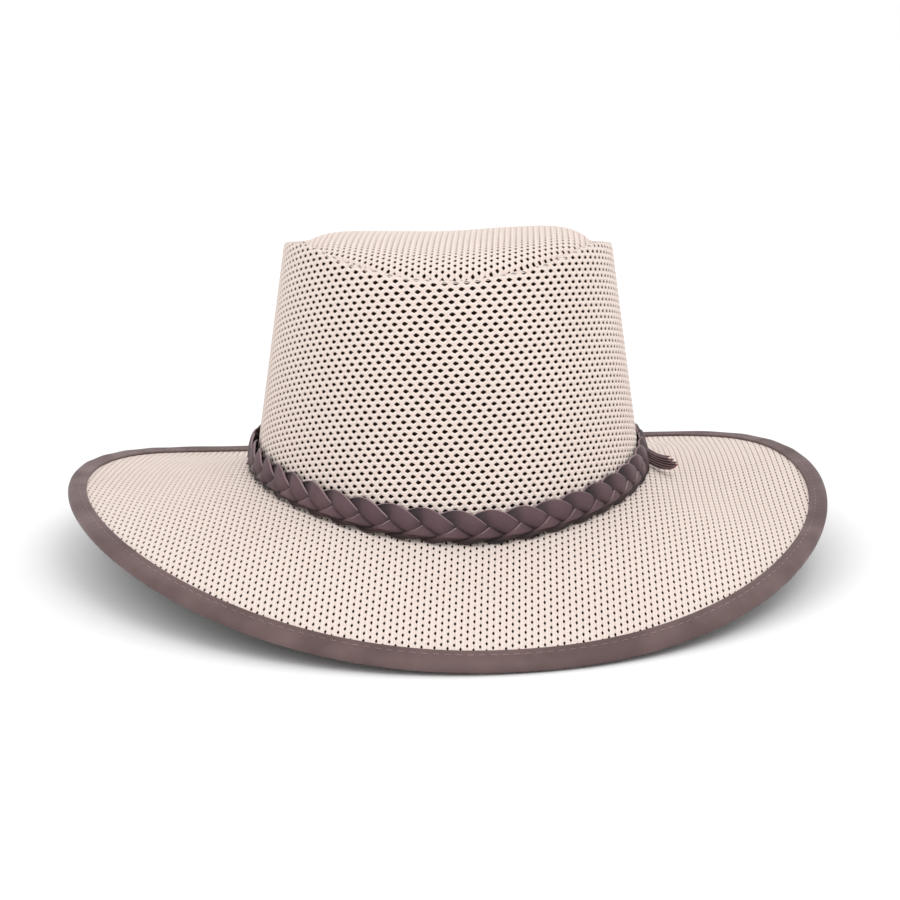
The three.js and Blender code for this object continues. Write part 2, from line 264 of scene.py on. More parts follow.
def keep(piece, name, values, kind="FLOAT", domain="POINT"):
    """Keeps a value for each point or face of a piece, under a name."""
    values = np.asarray(values, bool if kind == "BOOLEAN" else np.float32).ravel()
    kept = piece.data.attributes.new(name, kind, domain)
    kept.data.foreach_set("vector" if kind == "FLOAT_VECTOR" else "value", values)


def pattern_piece(name, placed, flat):
    """A sewing pattern: where each point lies on the hat, and where on the flat cloth."""
    rows, columns = placed.shape[:2]
    piece = link_mesh(name, placed, grid_faces(rows, columns))
    keep(piece, "flat", flat, "FLOAT_VECTOR")
    return piece


def ring_solid(name, rows):
    """A closed solid round the hat from rows of points, from the outside over the top."""
    around, count = len(rows), len(rows[0])
    faces = [(i * around + j, (i + 1) % count * around + j,
              (i + 1) % count * around + (j + 1) % around, i * around + (j + 1) % around)
             for i in range(count) for j in range(around)]
    return link_mesh(name, np.stack(rows, 1), faces)


def run_length(points, axis):
    """Length along one axis of a grid of points, from its start."""
    steps = np.linalg.norm(np.diff(points, axis=axis), axis=-1)
    start = np.zeros_like(np.take(steps, [0], axis))
    return np.cumsum(np.concatenate([start, steps], axis), axis)


# %% [markdown]
# ## Wrapping flat work on to the hat
# Cloth is easiest to pattern while it is flat. So the holes, laces and stitches are laid out
# flat, and one node group wraps them: it lays the pattern piece out flat as well, finds the
# nearest spot on it for every point, and reads there the place and direction on the hat. A
# point that lies above the flat cloth ends up that far above the hat's surface. Points
# outside the pattern land on its edge, so the work is trimmed cleanly.

# %% Small helpers for node trees
def put(tree, socket, value):
    if isinstance(value, bpy.types.NodeSocket):
        tree.links.new(value, socket)
    else:
        socket.default_value = value


def node(tree, kind, sockets=None, **settings):
    """Adds a node with its settings and inputs, and gives back its outputs."""
    made = tree.nodes.new(kind)
    for key, value in settings.items():
        setattr(made, key, value)
    for key, value in (sockets or {}).items():
        put(tree, made.inputs[key], value)
    return made.outputs


def maths(tree, operation, *values):
    return node(tree, "ShaderNodeMath", dict(enumerate(values)), operation=operation)[0]


def tree_ends(tree):
    """What comes out of a tree's inputs, and what goes into its outputs."""
    return tree.nodes.new("NodeGroupInput").outputs, tree.nodes.new("NodeGroupOutput").inputs


def vector_math(tree, operation, *vectors, **more):
    sockets = {**dict(enumerate(vectors)), **more}
    return node(tree, "ShaderNodeVectorMath", sockets, operation=operation)[0]


def named(tree, name, kind="FLOAT_VECTOR"):
    return node(tree, "GeometryNodeInputNamedAttribute", {"Name": name},
                data_type=kind)["Attribute"]


def store(tree, geometry, name, value):
    """Keeps a vector for each point, under a name."""
    return node(tree, "GeometryNodeStoreNamedAttribute", {
        "Geometry": geometry, "Name": name, "Value": value}, data_type="FLOAT_VECTOR")[0]


def object_geometry(tree, chosen):
    return node(tree, "GeometryNodeObjectInfo", {"Object": chosen})["Geometry"]


def realized(tree, geometry):
    return node(tree, "GeometryNodeRealizeInstances", {0: geometry})[0]


def given_material(tree, geometry, material, faces=True):
    return node(tree, "GeometryNodeSetMaterial", {
        "Geometry": geometry, "Selection": faces, "Material": material})[0]


def new_tree(name, inputs):
    """A geometry node tree with the given named inputs and one geometry output."""
    tree = bpy.data.node_groups.new(name, "GeometryNodeTree")
    for label, kind in inputs:
        tree.interface.new_socket(label, in_out="INPUT", socket_type="NodeSocket" + kind)
    tree.interface.new_socket("Geometry", in_out="OUTPUT", socket_type="NodeSocketGeometry")
    return tree, *tree_ends(tree)


# %% Node group: wrap flat work on a pattern piece
WELD = 0.02 * MM

wrap_tree, given, result = new_tree("wrap_on_hat", [("Geometry", "Geometry"), ("Pattern", "Object")])
position = node(wrap_tree, "GeometryNodeInputPosition")[0]
normal = node(wrap_tree, "GeometryNodeInputNormal")[0]
sewn = object_geometry(wrap_tree, given["Pattern"])
sewn = store(wrap_tree, store(wrap_tree, sewn, "on_hat", position), "outwards", normal)
laid_flat = node(wrap_tree, "GeometryNodeSetPosition", {
    "Geometry": sewn, "Position": named(wrap_tree, "flat")})[0]
work = store(wrap_tree, given["Geometry"], "cloth", position)
apart = node(wrap_tree, "ShaderNodeSeparateXYZ", {0: named(wrap_tree, "cloth")})
spot = node(wrap_tree, "ShaderNodeCombineXYZ", {0: apart[0], 1: apart[1]})[0]


def read_on_hat(name):
    return node(wrap_tree, "GeometryNodeSampleNearestSurface", {
        "Mesh": laid_flat, "Value": named(wrap_tree, name), "Sample Position": spot,
    }, data_type="FLOAT_VECTOR")["Value"]


direction = vector_math(wrap_tree, "NORMALIZE", read_on_hat("outwards"))
raised = vector_math(wrap_tree, "SCALE", direction, Scale=apart[2])
lifted = vector_math(wrap_tree, "ADD", read_on_hat("on_hat"), raised)
missed = node(wrap_tree, "GeometryNodeProximity", {
    0: laid_flat, "Sample Position": spot}, target_element="FACES")
outside = maths(wrap_tree, "GREATER_THAN", missed["Distance"], WELD)
trimmed = node(wrap_tree, "GeometryNodeDeleteGeometry", {
    "Geometry": work, "Selection": outside}, domain="FACE")
wrapped = node(wrap_tree, "GeometryNodeSetPosition", {
    "Geometry": trimmed[0], "Position": lifted})
put(wrap_tree, result["Geometry"], wrapped[0])
print("wrapping group has", len(wrap_tree.nodes), "nodes")

# %% [markdown]
# A tree is run on an object through a modifier. Its inputs are set by the sockets'
# identifiers, and the result is turned into a plain mesh at once, which renders and exports
# like any other. The pattern piece isn't needed any more, so it goes.

# %% Run a tree and keep a plain mesh
def wrap(tree, geometry, pattern):
    return node(tree, "GeometryNodeGroup", {"Geometry": geometry, "Pattern": pattern},
                node_tree=wrap_tree)["Geometry"]


def finish_tree(tree, result, geometry, material):
    smooth = node(tree, "GeometryNodeSetShadeSmooth", {0: geometry})[0]
    put(tree, result["Geometry"], given_material(tree, realized(tree, smooth), material))


def grow(piece, tree, inputs):
    """Runs a tree on a piece, keeps the result as its mesh, and takes the pattern away."""
    modifier = piece.modifiers.new("grow", "NODES")
    modifier.node_group = tree
    for socket in tree.interface.items_tree:
        if socket.in_out == "INPUT" and socket.name in inputs:
            modifier[socket.identifier] = inputs[socket.name]
    ready = bpy.context.evaluated_depsgraph_get()
    mesh = bpy.data.meshes.new_from_object(
        piece.evaluated_get(ready), preserve_all_data_layers=True, depsgraph=ready)
    piece.modifiers.clear()
    piece.data = mesh
    bpy.data.objects.remove(inputs["Pattern"])
    mesh.calc_loop_triangles()
    print(piece.name, "has", len(mesh.loop_triangles), "triangles")
    return piece


def empty_piece(name):
    return link_mesh(name, np.zeros((0, 3)), [])


# %% [markdown]
# ## Finishes
# The photograph shows a matte pinkish-cream knit, a nearly black backing in its holes, and a
# satin brown-grey leather look with paler cut edges. Each material reads the flat cloth
# coordinates or the object's own, never the camera. Three effects are shared, so each is a
# node group: fine threads, leather grain, and a slow drift of tone.

# %% Shared effect groups
def effect(name, inputs, output):
    """A shader node group with named inputs, and one number as its output."""
    group = bpy.data.node_groups.new(name, "ShaderNodeTree")
    for label, kind, value in inputs:
        socket = group.interface.new_socket(label, in_out="INPUT", socket_type="NodeSocket" + kind)
        if value is not None:
            socket.default_value = value
    group.interface.new_socket(output, in_out="OUTPUT", socket_type="NodeSocketFloat")
    return group, *tree_ends(group)


def wave(tree, value, width):
    """A wave from 0 to 1 that repeats every width."""
    angle = maths(tree, "MULTIPLY", maths(tree, "DIVIDE", value, width), 2 * np.pi)
    return maths(tree, "MULTIPLY_ADD", maths(tree, "SINE", angle), 0.5, 0.5)


# Threads: two slanting sets of fine lines and a rib along the cloth, in flat coordinates.
threads, given, result = effect("knit_threads", [
    ("Cloth", "Vector", None), ("Rib Width", "Float", 1.26 * MM), ("Yarn", "Float", 0.7 * MM),
], "Height")
flat_place = node(threads, "ShaderNodeSeparateXYZ", {0: given["Cloth"]})
along, across = flat_place[0], flat_place[1]
slant_up = wave(threads, maths(threads, "ADD", along, across), given["Yarn"])
slant_down = wave(threads, maths(threads, "SUBTRACT", along, across), given["Yarn"])
rib = wave(threads, across, given["Rib Width"])
yarn = maths(threads, "MAXIMUM", slant_up, slant_down)
put(threads, result["Height"], maths(
    threads, "MULTIPLY_ADD", yarn, 0.4, maths(threads, "MULTIPLY", rib, 0.6)))

# Grain: small cells of a leather-like surface with softer folds between them.
grain, given, result = effect("leather_grain", [
    ("Place", "Vector", None), ("Cell", "Float", 900.0), ("Fold", "Float", 140.0),
], "Height")
cells = node(grain, "ShaderNodeTexVoronoi", {
    "Vector": given["Place"], "Scale": given["Cell"]}, feature="SMOOTH_F1")
folds = node(grain, "ShaderNodeTexNoise", {
    "Vector": given["Place"], "Scale": given["Fold"], "Detail": 3.0})
put(grain, result["Height"], maths(grain, "MULTIPLY_ADD", cells["Distance"], 0.35, folds[0]))

# Drift: large soft patches, from 0 to 1, for tone and gloss that isn't the same all over.
drift, given, result = effect("soft_drift", [
    ("Place", "Vector", None), ("Scale", "Float", 25.0),
], "Amount")
patches = node(drift, "ShaderNodeTexNoise", {
    "Vector": given["Place"], "Scale": given["Scale"], "Detail": 4.0})
spread = node(drift, "ShaderNodeMapRange", {
    "Value": patches[0], "From Min": 0.35, "From Max": 0.65})
put(drift, result["Amount"], spread[0])
print("effect groups:", threads.name, grain.name, drift.name)

# %% Helpers for materials
MIX_FROM, MIX_TO = 6, 7


def use_group(tree, group, **values):
    return node(tree, "ShaderNodeGroup", values, node_tree=group)[0]


def tone(tree, share, dark, light):
    """A colour between two, by a share. Each can be three numbers or another node's colour."""
    dark, light = [(*c, 1) if isinstance(c, tuple) else c for c in (dark, light)]
    return node(tree, "ShaderNodeMix", {
        "Factor": share, MIX_FROM: dark, MIX_TO: light}, data_type="RGBA")[2]


def clamp(tree, value):
    return node(tree, "ShaderNodeClamp", {0: value})[0]


def new_material(name, roughness, specular, sheen=0.0):
    material = bpy.data.materials.new(name)
    material.use_nodes = True
    surface = material.node_tree.nodes["Principled BSDF"]
    surface.inputs["Roughness"].default_value = roughness
    surface.inputs["Specular IOR Level"].default_value = specular
    surface.inputs["Sheen Weight"].default_value = sheen
    return material, material.node_tree, surface


def object_place(tree):
    return node(tree, "ShaderNodeTexCoord")["Object"]


def attribute(tree, name, output="Fac"):
    return node(tree, "ShaderNodeAttribute", attribute_name=name)[output]


def relief(tree, surface, height, distance, strength):
    bump = node(tree, "ShaderNodeBump", {
        "Height": height, "Distance": distance, "Strength": strength})
    put(tree, surface.inputs["Normal"], bump[0])


# %% [markdown]
# The knit's face is painted lightest on the ridges beside each hole, as painted light, and pinker
# and darker in the valleys between two holes, as painted shade. The yarn that goes down into a hole
# is painted nearly black, as painted shade inside the hole. The cells carry that painted light and
# shade as one value called ring: 1 on a ridge, 0 in a valley and below 0 inside a hole. The material
# mixes by it.

# %% Knit face, backing and seam
# The first colour is the knit's own colour on its lit ridges. The second is painted shade in the
# valleys between the holes. The third is the seam cloth's own colour.
KNIT_LIGHT = (0.90, 0.79, 0.73)
KNIT_SHADED_DIP = (0.60, 0.475, 0.42)
SEAM_DIP = (0.78, 0.67, 0.61)
# Painted shade inside the holes: the cream yarn of the hole walls is painted nearly black.
HOLE_PAINTED_SHADE = (0.012, 0.007, 0.005)
BACK_DARK = (0.006, 0.003, 0.002)
BACK_LIGHT = (0.022, 0.012, 0.009)


def knit_material(name, dip):
    material, tree, surface = new_material(name, 0.85, 0.12, sheen=0.04)
    ring = attribute(tree, "ring")
    lines = use_group(tree, threads, Cloth=attribute(tree, "cloth", "Vector"))
    patch = use_group(tree, drift, Place=object_place(tree), Scale=18.0)
    # Painted light and shade: the ridges and the crests of the threads are mixed towards the lit
    # colour, and the valleys towards the painted shade.
    share = maths(tree, "MULTIPLY_ADD", ring, 0.72, maths(tree, "MULTIPLY", lines, 0.42))
    share = clamp(tree, maths(tree, "MULTIPLY_ADD", patch, -0.08, share))
    # Painted shade inside the holes: where the ring falls below 0, the hole walls are darkened
    # towards nearly black.
    hole_shade = clamp(tree, maths(tree, "MULTIPLY", ring, -1.0))
    face = tone(tree, share, dip, KNIT_LIGHT)
    put(tree, surface.inputs["Base Color"], tone(tree, hole_shade, face, HOLE_PAINTED_SHADE))
    relief(tree, surface, lines, 0.18 * MM, 0.9)
    return material


knit_face = knit_material("knit_face", KNIT_SHADED_DIP)
knit_seam = knit_material("knit_seam", SEAM_DIP)

knit_back, tree, surface = new_material("knit_back", 1.0, 0.03)
lines = use_group(tree, threads, Cloth=object_place(tree))
put(tree, surface.inputs["Base Color"], tone(tree, lines, BACK_DARK, BACK_LIGHT))
relief(tree, surface, lines, 0.2 * MM, 0.6)
print("knit materials made")

# %% [markdown]
# ## One cell of the knit
# The holes lie like bricks: each row is half a step along from the next. So the cloth is a
# tiling of rhombs, one hole in each. A hole is a rounded diamond with one sharper end. Eight
# corners round the rhomb join to eight round the hole, and a short wall goes down from the
# hole to the backing. That is 32 triangles, which matters when there are thousands. The holes'
# columns lie in valleys with a ridge on each side, which gives the cloth its fine ribs. On the
# brim the cloth is stretched less, so its holes are narrower.

# %% Build the repeats of two cells
PITCH_ALONG = 4.25 * MM
PITCH_ACROSS = 5.05 * MM
HOLE_WALL = 0.85 * MM
HOLE_TAPER = 0.94
# The ring value at the foot of each hole wall. It paints the wall dark as painted shade.
HOLE_FOOT_PAINTED_SHADE = -2.2


def mirrored(rows):
    """Rows on one side of a cell, then the same on its other side, back towards the first."""
    return np.array(rows + [(along, -across, *more) for along, across, *more in rows[-2:0:-1]])


# Half the corners of the rhomb and of the hole, from the hole's sharp end: along and across as
# shares of the pitch, height in mm, and ring, the share of painted light and painted shade.
RHOMB = mirrored([(0.5, 0.0, -0.16, 0.25), (0.25, 0.25, -0.04, 0.6), (0.0, 0.5, -0.16, 0.25),
                  (-0.25, 0.25, -0.04, 0.6), (-0.5, 0.0, -0.16, 0.25)])
HOLE = mirrored([(0.355, 0.0, -0.1, 0.6), (0.16, 0.112, 0.06, 1.0), (0.0, 0.188, 0.11, 1.0),
                 (-0.17, 0.112, 0.06, 1.0), (-0.305, 0.0, -0.1, 0.6)])


def knit_repeat(name, hole_width):
    hole = HOLE * (1, hole_width, 1, 1)
    foot = hole * (HOLE_TAPER, HOLE_TAPER, 0, 0) + (0, 0, -HOLE_WALL / MM, HOLE_FOOT_PAINTED_SHADE)
    cell = np.concatenate([RHOMB, hole, foot])
    both = np.concatenate([cell, cell + (0.5, 0.5, 0, 0)])
    n = len(RHOMB)
    faces = [(base + i, base + (i + 1) % n, base + n + (i + 1) % n, base + n + i)
             for first in (0, len(cell)) for base in (first, first + n) for i in range(n)]
    repeat = link_mesh(name, both[:, :3] * (PITCH_ALONG, PITCH_ACROSS, MM), faces)
    # The ring value of each corner is painted light and painted shade for the material.
    keep(repeat, "ring", both[:, 3])
    return repeat


wide_holes = knit_repeat("wide_holes", 1.0)
narrow_holes = knit_repeat("narrow_holes", 0.66)
print("one repeat covers", round(PITCH_ALONG * PITCH_ACROSS / MM ** 2, 1), "square mm")

# %% [markdown]
# ## The pierced cloth
# Geometry Nodes repeat the two cells over a grid as large as the flat pattern piece, leave out
# the repeats that would miss it, join the cells, and wrap them on the hat. The same tree
# makes the wall, the tip and the brim. Only the pattern piece changes.

# %% Node tree: pierced cloth
PITCHES_BEYOND = 1.6

cloth, given, result = new_tree("pierced_cloth", [
    ("Pattern", "Object"), ("Repeat", "Object"), ("Pitch Along", "Float"),
    ("Pitch Across", "Float"), ("Material", "Material")])
flat_pattern = node(cloth, "GeometryNodeSetPosition", {
    "Geometry": object_geometry(cloth, given["Pattern"]),
    "Position": named(cloth, "flat")})[0]
box = node(cloth, "GeometryNodeBoundBox", {0: flat_pattern})
corners = box["Max"], box["Min"]
middle = vector_math(cloth, "SCALE", vector_math(cloth, "ADD", *corners), Scale=0.5)
sides = node(cloth, "ShaderNodeSeparateXYZ", {0: vector_math(cloth, "SUBTRACT", *corners)})


def steps_over(side, pitch):
    whole = maths(cloth, "CEIL", maths(cloth, "DIVIDE", side, pitch))
    steps = maths(cloth, "ADD", whole, 2.0)
    return steps, maths(cloth, "MULTIPLY", steps, pitch)


steps_x, size_x = steps_over(sides[0], given["Pitch Along"])
steps_y, size_y = steps_over(sides[1], given["Pitch Across"])
lattice = node(cloth, "GeometryNodeMeshGrid", {
    "Size X": size_x, "Size Y": size_y,
    "Vertices X": maths(cloth, "ADD", steps_x, 1.0),
    "Vertices Y": maths(cloth, "ADD", steps_y, 1.0)})
centred = node(cloth, "GeometryNodeTransform", {
    "Geometry": lattice["Mesh"], "Translation": middle})
reach = node(cloth, "GeometryNodeProximity", {0: flat_pattern}, target_element="FACES")
limit = maths(cloth, "MULTIPLY", given["Pitch Across"], PITCHES_BEYOND)
needed = node(cloth, "GeometryNodeDeleteGeometry", {
    "Geometry": centred[0],
    "Selection": maths(cloth, "GREATER_THAN", reach["Distance"], limit),
}, domain="POINT")
repeats = node(cloth, "GeometryNodeInstanceOnPoints", {
    "Points": needed[0], "Instance": object_geometry(cloth, given["Repeat"])})
joined = node(cloth, "GeometryNodeMergeByDistance", {
    "Geometry": realized(cloth, repeats[0]), "Distance": WELD})
finish_tree(cloth, result, wrap(cloth, joined[0], given["Pattern"]), given["Material"])


def pierced_cloth(name, pattern, repeat):
    return grow(empty_piece(name), cloth, {
        "Pattern": pattern, "Repeat": repeat, "Pitch Along": PITCH_ALONG,
        "Pitch Across": PITCH_ACROSS, "Material": knit_face})


def dress(piece, slot, *replaced, material=None):
    """Attaches a finished piece to the root, hides the solids that it stands for, and gives it a
    material if one is named; its slot is not used.
    """
    if material is not None:
        piece.data.materials.append(material)
    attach(piece, "root")
    if replaced:
        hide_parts(*replaced)


# %% [markdown]
# ## Side wall of the crown
# The real wall is one strip, cut flat and sewn into a cone, with its seam at the back. On the
# photograph the rows of holes run round it in arcs that are level a little to the right of
# the middle and climb to both sides. A flat cone does exactly that, so the pattern piece is a
# fan: its radius shrinks as the wall rises. The face goes on over the rim and a little way
# down inside it, where the tip meets it.

# %% Pattern piece of the side wall
RIM_RADIUS = MESH / 2
RIM_TUCK = 1.2 * MM
WALL_TOP = 0.98
FAN_ANGLE = 0.25
LEVEL_TURN = np.radians(16)


def over_rim(radius, step):
    """Rows round the rim of the crown, from its outside over the top to its inside."""
    return [(1.0, RIM_RADIUS - radius * np.cos(angle), RIM_RADIUS - radius * np.sin(angle))
            for angle in np.radians(np.arange(0, 181, step))]


wall_turns = np.linspace(-np.pi, np.pi, 361)
wall_rows = [(rise, 0.0, 0.0) for rise in np.linspace(0, WALL_TOP, 24)]
wall_rows += [*over_rim(RIM_RADIUS, 30), (1.0, MESH, RIM_RADIUS + RIM_TUCK)]
wall_points = np.array([crown_point(wall_turns, *row) for row in wall_rows])

mean_oval = crown_point(wall_turns, 0.5, 0) * (1, 1, 0)
round_length = run_length(mean_oval, 0)
mean_radius = round_length[-1] / (2 * np.pi)
fan_turn = (round_length - round_length[len(wall_turns) // 2]) / mean_radius - LEVEL_TURN
climb = run_length(wall_points, 0) + wall_points[0, :, 2] - STAND - FOOT_LEVEL
fan_radius = mean_radius / FAN_ANGLE + CROWN_HEIGHT / 2 - climb
wall_flat = np.stack([fan_radius * np.sin(FAN_ANGLE * fan_turn),
                      -fan_radius * np.cos(FAN_ANGLE * fan_turn), 0 * fan_radius], -1)
wall_pattern = pattern_piece("wall_pattern", wall_points, wall_flat)
print("mean radius of the wall", round(mean_radius / MM, 1), "mm")

# %% Knit face of the side wall
dress(pierced_cloth("crown_side_knit", wall_pattern, wide_holes), "crown_mesh", "crown_side")

# %% [markdown]
# Behind the face lies the backing, a plain closed ring. Its top stops just under the rim. There
# the folded seam allowance of pale cloth takes over, which shows as a thin light line round
# the top of the crown. At the middle of the back a narrow strip closes the wall's own seam.

# %% Backing and seam allowance of the side wall
FACE_DEPTH = 0.6 * MM
ALLOWANCE_RADIUS = RIM_RADIUS - FACE_DEPTH

ring_turns = np.linspace(0, 2 * np.pi, 240, endpoint=False)
backing_rises = np.linspace(0, WALL_TOP, 12)


def crown_ring(name, rows, material):
    ring = ring_solid(name, [crown_point(ring_turns, *row) for row in rows])
    dress(ring, "crown_mesh", material=material)


crown_ring("crown_side_backing", [
    *[(rise, FACE_DEPTH, 0) for rise in backing_rises],
    (1.0, FACE_DEPTH, RIM_RADIUS), (1.0, MESH, RIM_RADIUS),
    *[(rise, MESH, 0) for rise in backing_rises[::-1]]], knit_back)
crown_ring("rim_allowance", over_rim(ALLOWANCE_RADIUS, 45), knit_seam)
print("rim allowance", round(ALLOWANCE_RADIUS / MM, 1), "mm deep")

# %% Strip over the seam at the back
STRIP_TOP = 0.995

# Section of the strip, in mm: place round the crown, and depth under the face.
STRIP_SECTION = [(-1.4, 0.7), (1.4, 0.7), (1.4, -0.05), (1.0, -0.25), (-1.0, -0.25), (-1.4, -0.05)]

strip_rises = np.linspace(0, STRIP_TOP, 24)
strip_points = np.stack([crown_point(np.pi + width * MM / FOOT_HALF_WIDTH, strip_rises, depth * MM)
                         for width, depth in STRIP_SECTION], 1)
strip_faces = bar_faces(len(strip_rises), len(STRIP_SECTION))
dress(link_mesh("crown_back_seam", strip_points, strip_faces), "crown_mesh", material=knit_seam)
print("seam strip has", len(strip_faces), "faces")

# %% [markdown]
# ## Tip of the crown
# The tip is an oval that dips into a gutter behind the rim and then swells to a low dome. Its
# rows of holes run from front to back. Seen from above it doesn't stretch much, so its flat
# pattern is simply its plan, turned by the small angle that the photograph shows.

# %% Pattern piece and knit face of the tip
WALE_TURN = np.radians(1.75)
TIP_HALF_WIDTH = FOOT_HALF_WIDTH - LEAN_SIDE - MESH
TIP_HALF_LENGTH = FOOT_HALF_LENGTH - LEAN_FRONT - MESH

# Where the tip lies: reach from the centre, and the share of the dome or of the gutter there.
TIP_DOME = [(0, 1), (0.24, 1), (0.48, 1), (0.7, 0.97), (0.82, 0.76), (0.9, 0.42), (0.965, 0),
            (1, 0)]
TIP_GUTTER = [(0, 0), (0.7, 0), (0.82, 0.1), (0.9, 0.4), (0.965, 1), (1, 0)]


def tip_point(turn, reach, drop=0):
    x, y = oval(turn, TIP_HALF_WIDTH * reach, TIP_HALF_LENGTH * reach)
    dome = (FOOT_LEVEL + DOME_HEIGHT * smooth_table(DOME_LINE, y / TIP_HALF_LENGTH)
            + DOME_TILT * smooth_table(TILT_LINE, x / TIP_HALF_WIDTH))
    rim = rim_level(turn) - RIM_ROUNDING
    level = mix(rim, dome, smooth_table(TIP_DOME, reach))
    level = level - GUTTER_DEPTH * smooth_table(TIP_GUTTER, reach)
    return np.stack([x, y, STAND + SEAM_GAP + level - drop], -1)


def plan_flat(points):
    """Flat cloth whose rows run from front to back, seen from above."""
    x, y = points[..., 0], points[..., 1]
    along = x * np.sin(WALE_TURN) + y * np.cos(WALE_TURN)
    across = y * np.sin(WALE_TURN) - x * np.cos(WALE_TURN)
    return np.stack([along, across, 0 * x], -1)


tip_reaches = np.concatenate([[1.0, 0.99, 0.98, 0.97, 0.96, 0.95, 0.93], np.linspace(0.9, 0, 25)])
tip_points = np.array([tip_point(wall_turns, reach) for reach in tip_reaches])
tip_pattern = pattern_piece("tip_pattern", tip_points, plan_flat(tip_points))
dress(pierced_cloth("crown_tip_knit", tip_pattern, wide_holes), "crown_mesh", "crown_tip")

# %% Backing of the tip
def closed_dish(name, rings, drop, thickness):
    """A closed shell below the tip: rings from the outside in, both faces and an edge."""
    count = len(ring_turns)
    tops = [tip_point(ring_turns, reach, drop) for reach in rings]
    centre = tip_point(np.array([0.0]), 0.0, drop)
    face = np.concatenate([*tops, centre])
    under = face - (0, 0, thickness)
    last = (len(rings) - 1) * count
    faces = []
    for i in range(count):
        n = (i + 1) % count
        for a in range(0, last, count):
            faces.append((a + i, a + n, a + count + n, a + count + i))
            b = a + len(face)
            faces.append((b + i, b + count + i, b + count + n, b + n))
        faces.append((last + i, last + n, len(face) - 1))
        faces.append((len(face) + last + n, len(face) + last + i, 2 * len(face) - 1))
        faces.append((len(face) + i, len(face) + n, n, i))
    return link_mesh(name, np.concatenate([face, under]), faces)


TIP_SEAM = 0.985
DISH_REACHES = [TIP_SEAM, 0.975, 0.965, 0.955, 0.94, 0.92, 0.9, 0.86, 0.82, 0.76, 0.7, 0.6,
                0.48, 0.36, 0.24, 0.12]
tip_backing = closed_dish("crown_tip_backing", DISH_REACHES, FACE_DEPTH, MESH - FACE_DEPTH)
dress(tip_backing, "crown_mesh", material=knit_back)

tip_rim_rows = [(1.0, FACE_DEPTH), (TIP_SEAM, FACE_DEPTH), (TIP_SEAM, MESH), (1.0, MESH)]
tip_allowance = ring_solid("tip_allowance", [tip_point(ring_turns, reach, drop)
                                             for reach, drop in tip_rim_rows])
dress(tip_allowance, "crown_mesh", material=knit_seam)

# %% [markdown]
# ## Brim
# The brim uses the same cloth tree with its own plan as the pattern. It reaches a little way
# under the braid and under the binding, so no cut edge shows. The backing fills the rest of
# its thickness and is what you see from below.

# %% Brim
CLOTH_TUCK = 2 * MM

cloth_edge = BINDING_WIDTH - CLOTH_TUCK
brim_points = np.array([brim_top(wall_turns, mix(cloth_edge, brim_width(wall_turns), share))
                        for share in np.linspace(0, 1, 28)])
brim_pattern = pattern_piece("brim_pattern", brim_points, plan_flat(brim_points))
dress(pierced_cloth("brim_knit", brim_pattern, narrow_holes), "brim_mesh", "brim")

backing_shares = np.linspace(0, 1, 16)
backing_rows = [(share, -FACE_DEPTH) for share in backing_shares]
backing_rows += [(share, -MESH) for share in backing_shares[::-1]]
brim_backing = ring_solid("brim_backing", [
    brim_top(ring_turns, mix(EDGE_INSET, brim_width(ring_turns), share), above)
    for share, above in backing_rows])
dress(brim_backing, "brim_mesh", material=knit_back)

# %% [markdown]
# ## Binding
# A strip of thin leather-look cloth is folded over the brim's edge and sewn through both legs.
# The stitches pull it into a shallow channel and pucker it a little at each needle hole, and
# the fold swells outside them. All of that is one closed profile carried round the edge. The
# rows of the table are inset from the edge and height above the brim, in millimetres.

# %% Leather-look materials
def leather(name, roughness, patches, cell, depth, strength):
    """The gloss and grain of leather. Its colour is put in afterwards, from the soft patches."""
    material, tree, surface = new_material(name, roughness, 0.3)
    place = object_place(tree)
    patch = use_group(tree, drift, Place=place, Scale=patches)
    gloss = node(tree, "ShaderNodeMapRange", {
        "Value": patch, "To Min": roughness + 0.06, "To Max": roughness - 0.06})
    put(tree, surface.inputs["Roughness"], gloss[0])
    relief(tree, surface, use_group(tree, grain, Place=place, Cell=cell), depth, strength)
    return material, tree, surface, patch


def plain_leather(name, dark, light, roughness, cell):
    material, tree, surface, patch = leather(name, roughness, 45.0, cell, 0.15 * MM, 0.5)
    put(tree, surface.inputs["Base Color"], tone(tree, patch, dark, light))
    return material


binding_leather = plain_leather("binding_leather", (0.10, 0.062, 0.061), (0.145, 0.094, 0.091),
                                0.55, 1100.0)
# Paler cut edge: the fabric that leather-look cloth shows, and on the braid's upper edges also a
# painted highlight.
cut_edge_and_highlight = plain_leather("cut_edge_and_highlight", (0.18, 0.12, 0.13), (0.31, 0.225, 0.235), 0.75, 1800.0)
raw_end = plain_leather("raw_end", (0.11, 0.028, 0.022), (0.19, 0.06, 0.045), 0.8, 1800.0)
thread = plain_leather("stitch_thread", (0.20, 0.135, 0.13), (0.29, 0.20, 0.195), 0.6, 2400.0)

# %% Binding
STITCH_LINE = BINDING_WIDTH - 2.9 * MM
STITCH_PITCH = 4.5 * MM
STEPS_PER_STITCH = 4
PUCKER = 0.1 * MM
PUCKER_REACH = 1.3 * MM
RIPPLE = 0.1 * MM

BINDING_PROFILE = [(0.0, -1.7), (0.0, -0.9), (0.3, -0.1), (0.9, 0.65), (1.9, 1.05),
                   (3.0, 1.15), (4.2, 1.08), (5.3, 0.85), (6.3, 1.02), (7.3, 1.1),
                   (7.9, 1.0), (8.2, 0.7), (8.22, 0.35), (8.1, 0.05), (1.3, -0.05),
                   (1.3, -2.5), (8.1, -2.6), (8.22, -3.0), (8.2, -3.4), (7.6, -3.7),
                   (6.3, -3.65), (5.3, -3.45), (4.3, -3.62), (2.8, -3.78), (1.4, -3.76),
                   (0.6, -3.1), (0.2, -2.4)]

